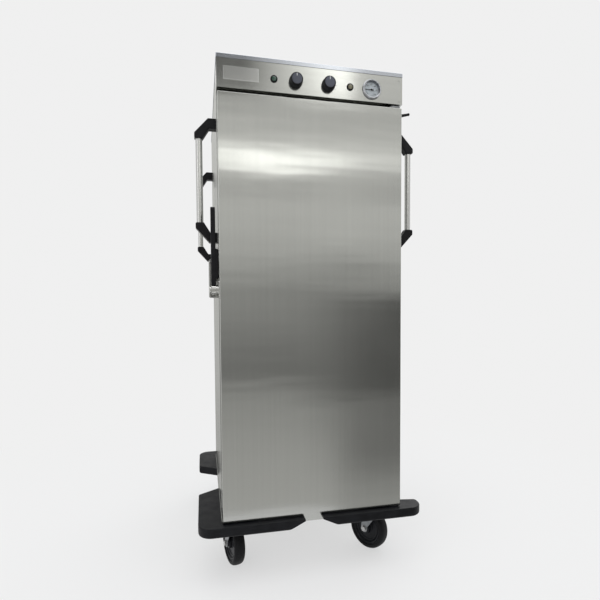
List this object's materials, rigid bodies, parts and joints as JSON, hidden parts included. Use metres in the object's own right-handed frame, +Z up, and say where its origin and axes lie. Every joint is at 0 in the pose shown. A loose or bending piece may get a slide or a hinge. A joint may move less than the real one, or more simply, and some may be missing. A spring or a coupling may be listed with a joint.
{
  "type": "hot cupboard",
  "caption": "Tall mobile hot cupboard in stainless steel with one hinged door, a control panel above it, push handles, corner bumpers and swivel castors",
  "frame": {"origin": "on the floor, under the middle of the footprint", "axes": "+Z up, the door faces -Y, the hinge is at +X"},
  "size_m": [0.796, 0.844, 1.74],
  "materials": {
    "brushed_steel": "brushed stainless steel",
    "inner_steel": "smooth stainless steel",
    "tube_steel": "satin stainless tube",
    "zinc_steel": "zinc plated steel",
    "wool": "mineral wool slab",
    "black_nylon": "black moulded nylon",
    "bumper_rubber": "black moulded rubber",
    "wheel_rubber": "black rubber and black nylon",
    "seal_rubber": "grey silicone rubber",
    "bush_nylon": "white nylon",
    "knob_face": "blue grey moulding with a black side",
    "switch_body": "dark moulding",
    "power_lens": "dark green lens",
    "heating_lens": "grey olive lens",
    "bezel_steel": "polished dark steel",
    "dial_white": "printed white dial",
    "needle_black": "black pointer",
    "glass": "clear glass",
    "plate": "bare satin plate",
    "terminal": "cream terminal block",
    "motor": "dark motor housing",
    "spring": "spring steel"
  },
  "bodies": {
    "cabinet": {"side_panels": "brushed_steel", "back_panel": "brushed_steel", "base_panel": "inner_steel", "top_lid": "brushed_steel", "front_frame": "brushed_steel", "liner": "inner_steel", "insulation": "wool", "chassis_frame": "brushed_steel", "front_bumpers": "bumper_rubber", "rear_bumpers": "bumper_rubber", "handle_tubes": "tube_steel", "handle_brackets": "black_nylon", "cord_hook": "black_nylon", "castor_plates": "zinc_steel", "castor_bolts": "zinc_steel", "hinge_brackets": "brushed_steel", "keeper_housing": "brushed_steel", "keeper_spring": "spring", "fascia_panel": "brushed_steel", "control_tray": "inner_steel", "name_plate": "plate", "power_switch": "switch_body", "thermostat": "switch_body", "lamp_bezels": "black_nylon", "power_lamp_lens": "power_lens", "heating_lamp_lens": "heating_lens", "thermometer_case": "bezel_steel", "thermometer_dial": "dial_white", "thermometer_glass": "glass", "terminal_block": "terminal", "cable_gland": "black_nylon", "tray_rack_left": "inner_steel", "tray_rack_right": "inner_steel", "air_baffle": "inner_steel", "ring_heater": "motor", "fan_motor": "motor", "fixing_screws": "zinc_steel"},
    "door": {"door_outer_skin": "brushed_steel", "door_inner_skin": "inner_steel", "door_insulation": "wool", "door_gasket": "seal_rubber", "hinge_bushes": "bush_nylon", "latch_base": "tube_steel"},
    "latch": {"latch_lever": "black_nylon", "latch_tongue": "zinc_steel"},
    "power_control": {"power_knob": "knob_face", "power_spindle": "zinc_steel"},
    "thermostat_control": {"thermostat_knob": "knob_face", "thermostat_spindle": "zinc_steel"},
    "pointer": {"thermometer_needle": "needle_black"},
    "fan": {"fan_impeller": "zinc_steel"},
    "swivel_front_left": {"fork_front_left": "zinc_steel"},
    "roller_front_left": {"wheel_front_left": "wheel_rubber"},
    "swivel_front_right": {"fork_front_right": "zinc_steel"},
    "roller_front_right": {"wheel_front_right": "wheel_rubber"},
    "swivel_rear_left": {"fork_rear_left": "zinc_steel"},
    "roller_rear_left": {"wheel_rear_left": "wheel_rubber"},
    "swivel_rear_right": {"fork_rear_right": "zinc_steel"},
    "roller_rear_right": {"wheel_rear_right": "wheel_rubber"}
  },
  "joints": [
    {"name": "door_hinge", "type": "hinge", "parent": "cabinet", "child": "door", "pos_m": [0.299, -0.3745, 0.9], "axis": [0, 0, 1], "range_deg": [0, 180], "deforming": ["keeper_spring"]},
    {"name": "latch_lever", "type": "hinge", "parent": "door", "child": "latch", "pos_m": [-0.3355, -0.3725, 0.988], "axis": [1, 0, 0], "range_deg": [0, 80], "stiffness_Nm_per_rad": 1, "springref_deg": -20.05},
    {"name": "power_knob", "type": "hinge", "parent": "cabinet", "child": "power_control", "pos_m": [-0.06, -0.4, 1.675], "axis": [0, 1, 0], "range_deg": [0, 90]},
    {"name": "thermostat_knob", "type": "hinge", "parent": "cabinet", "child": "thermostat_control", "pos_m": [0.052, -0.4, 1.675], "axis": [0, 1, 0], "range_deg": [0, 270]},
    {"name": "thermometer_pointer", "type": "hinge", "parent": "cabinet", "child": "pointer", "pos_m": [0.206, -0.394, 1.675], "axis": [0, 1, 0], "range_deg": [-45, 225], "stiffness_Nm_per_rad": 0.002},
    {"name": "fan_spin", "type": "hinge", "parent": "cabinet", "child": "fan", "pos_m": [0, 0, 1.58], "axis": [0, 0, 1], "continuous": true},
    {"name": "swivel_front_left", "type": "hinge", "parent": "cabinet", "child": "swivel_front_left", "pos_m": [-0.265, -0.303, 0.18], "axis": [0, 0, 1], "continuous": true},
    {"name": "roll_front_left", "type": "hinge", "parent": "swivel_front_left", "child": "roller_front_left", "pos_m": [-0.27468, -0.26419, 0.08], "axis": [0.9703, 0.2419, 0], "continuous": true},
    {"name": "swivel_front_right", "type": "hinge", "parent": "cabinet", "child": "swivel_front_right", "pos_m": [0.265, -0.303, 0.18], "axis": [0, 0, 1], "continuous": true},
    {"name": "roll_front_right", "type": "hinge", "parent": "swivel_front_right", "child": "roller_front_right", "pos_m": [0.2444, -0.26871, 0.08], "axis": [0.8572, 0.515, 0], "continuous": true},
    {"name": "swivel_rear_left", "type": "hinge", "parent": "cabinet", "child": "swivel_rear_left", "pos_m": [-0.265, 0.295, 0.18], "axis": [0, 0, 1], "continuous": true},
    {"name": "roll_rear_left", "type": "hinge", "parent": "swivel_rear_left", "child": "roller_rear_left", "pos_m": [-0.25943, 0.33461, 0.08], "axis": [0.9903, -0.1392, 0], "continuous": true},
    {"name": "swivel_rear_right", "type": "hinge", "parent": "cabinet", "child": "swivel_rear_right", "pos_m": [0.265, 0.295, 0.18], "axis": [0, 0, 1], "continuous": true},
    {"name": "roll_rear_right", "type": "hinge", "parent": "swivel_rear_right", "child": "roller_rear_right", "pos_m": [0.25668, 0.33413, 0.08], "axis": [0.9781, 0.2079, 0], "continuous": true}
  ]
}
